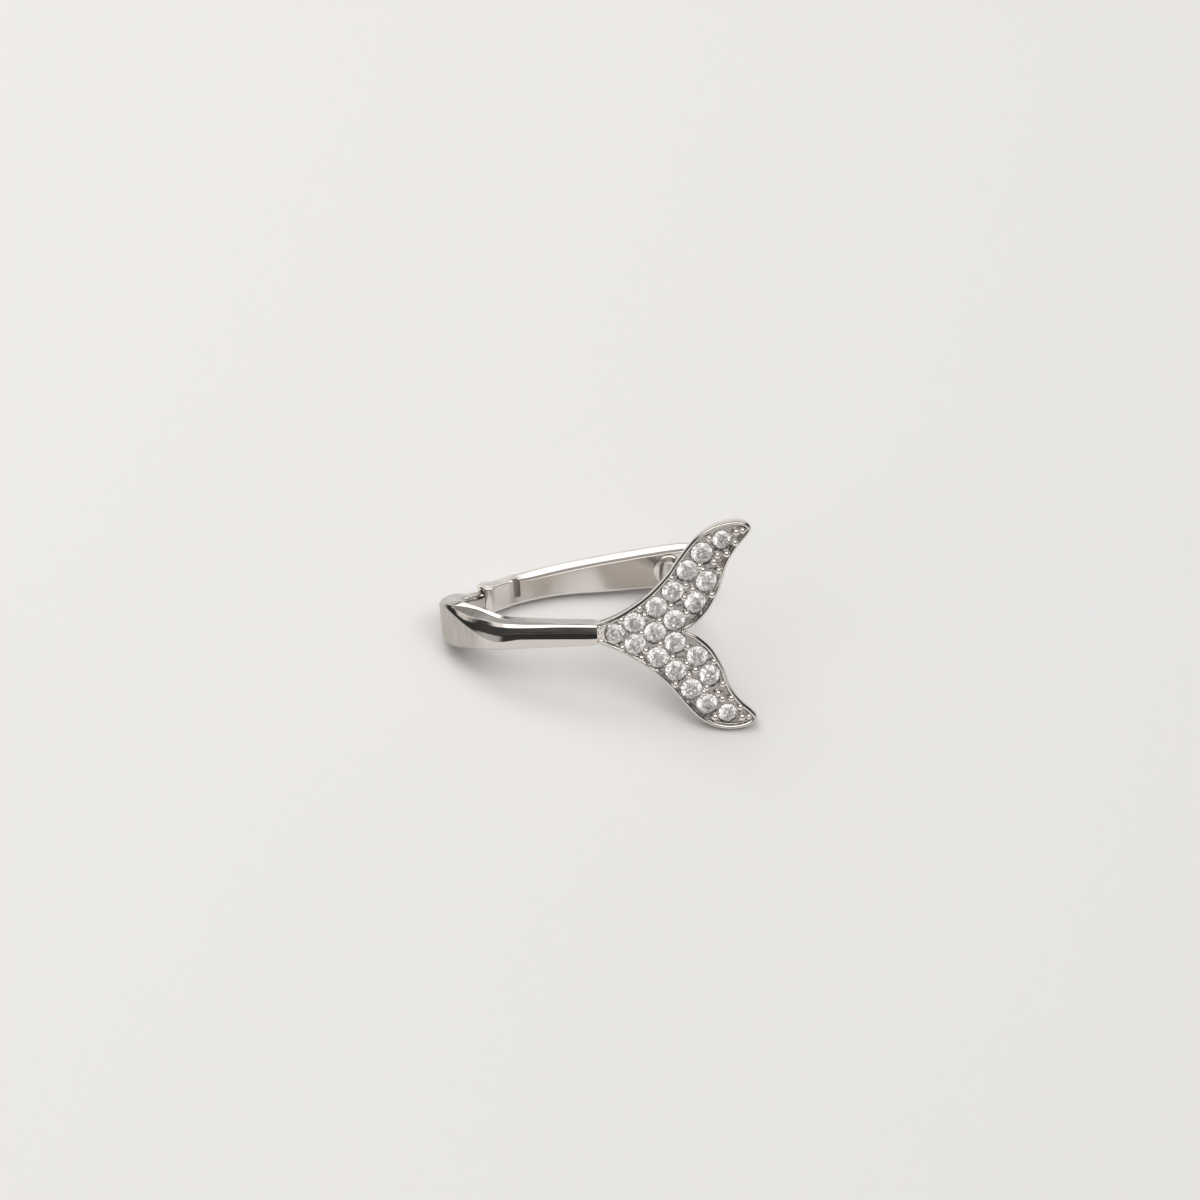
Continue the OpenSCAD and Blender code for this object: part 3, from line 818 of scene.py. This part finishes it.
links.new(math_node("ABSOLUTE", side), reach.inputs["Value"])
links.new(reach.outputs["Result"], mix.inputs["Factor"])
links.new(over, mix.inputs[6])
links.new(beside, mix.inputs[7])
bg = nodes["Background"]
links.new(mix.outputs[2], bg.inputs["Color"])
bg.inputs["Strength"].default_value = STRENGTH
bpy.context.scene.view_settings.view_transform = "Standard"


def area(name, place, size, power):
    """A warm light aimed at the earring, which the metal doesn't mirror."""
    light = bpy.data.lights.new(name, "AREA")
    light.size, light.energy, light.color = size, power, (1, 0.985, 0.965)
    obj = bpy.data.objects.new(name, light)
    obj.location = place
    obj.rotation_euler = (-Vector(place)).to_track_quat("-Z", "Y").to_euler()
    obj.visible_glossy = False
    bpy.context.scene.collection.objects.link(obj)


area("overhead", (-0.12, 0.10, 0.27), 0.22, 0.44)
area("low_fill", (-0.26, -0.20, 0.12), 0.20, 0.22)

# Camera at the photograph's angle: raised and rolled in the hoop's frame, at a reach in millimetres, and
# tilted so that the earring lies as low in the frame as in the photograph, which is 48 mm wide there
E, ROLL, REACH, TILT, WIDE = math.radians(22), math.radians(2.4), 240, 1.6, 48
view = np.array([0, math.cos(E), -math.sin(E)])
up_v = np.array([0, math.sin(E), math.cos(E)])
right = math.cos(ROLL) * np.array([1, 0, 0]) - math.sin(ROLL) * up_v
up = math.sin(ROLL) * np.array([1, 0, 0]) + math.cos(ROLL) * up_v
place = world([-REACH * view])[0]
pitch = math.atan(TILT / REACH)
fwd = math.cos(pitch) * view + math.sin(pitch) * up
up2 = math.cos(pitch) * up - math.sin(pitch) * view
axes = np.stack([TURN @ right, TURN @ up2, -(TURN @ fwd)], 1)
cam_data = bpy.data.cameras.new("camera")
cam_data.sensor_width = 36
cam_data.lens = 18 / (WIDE / 2 / REACH)
cam_data.clip_start, cam_data.clip_end = 0.01, 5
cam = bpy.data.objects.new("camera", cam_data)
cam.matrix_world = Matrix.Translation(place) @ Matrix([list(r) for r in axes]).to_4x4()
bpy.context.scene.collection.objects.link(cam)
bpy.context.scene.camera = cam
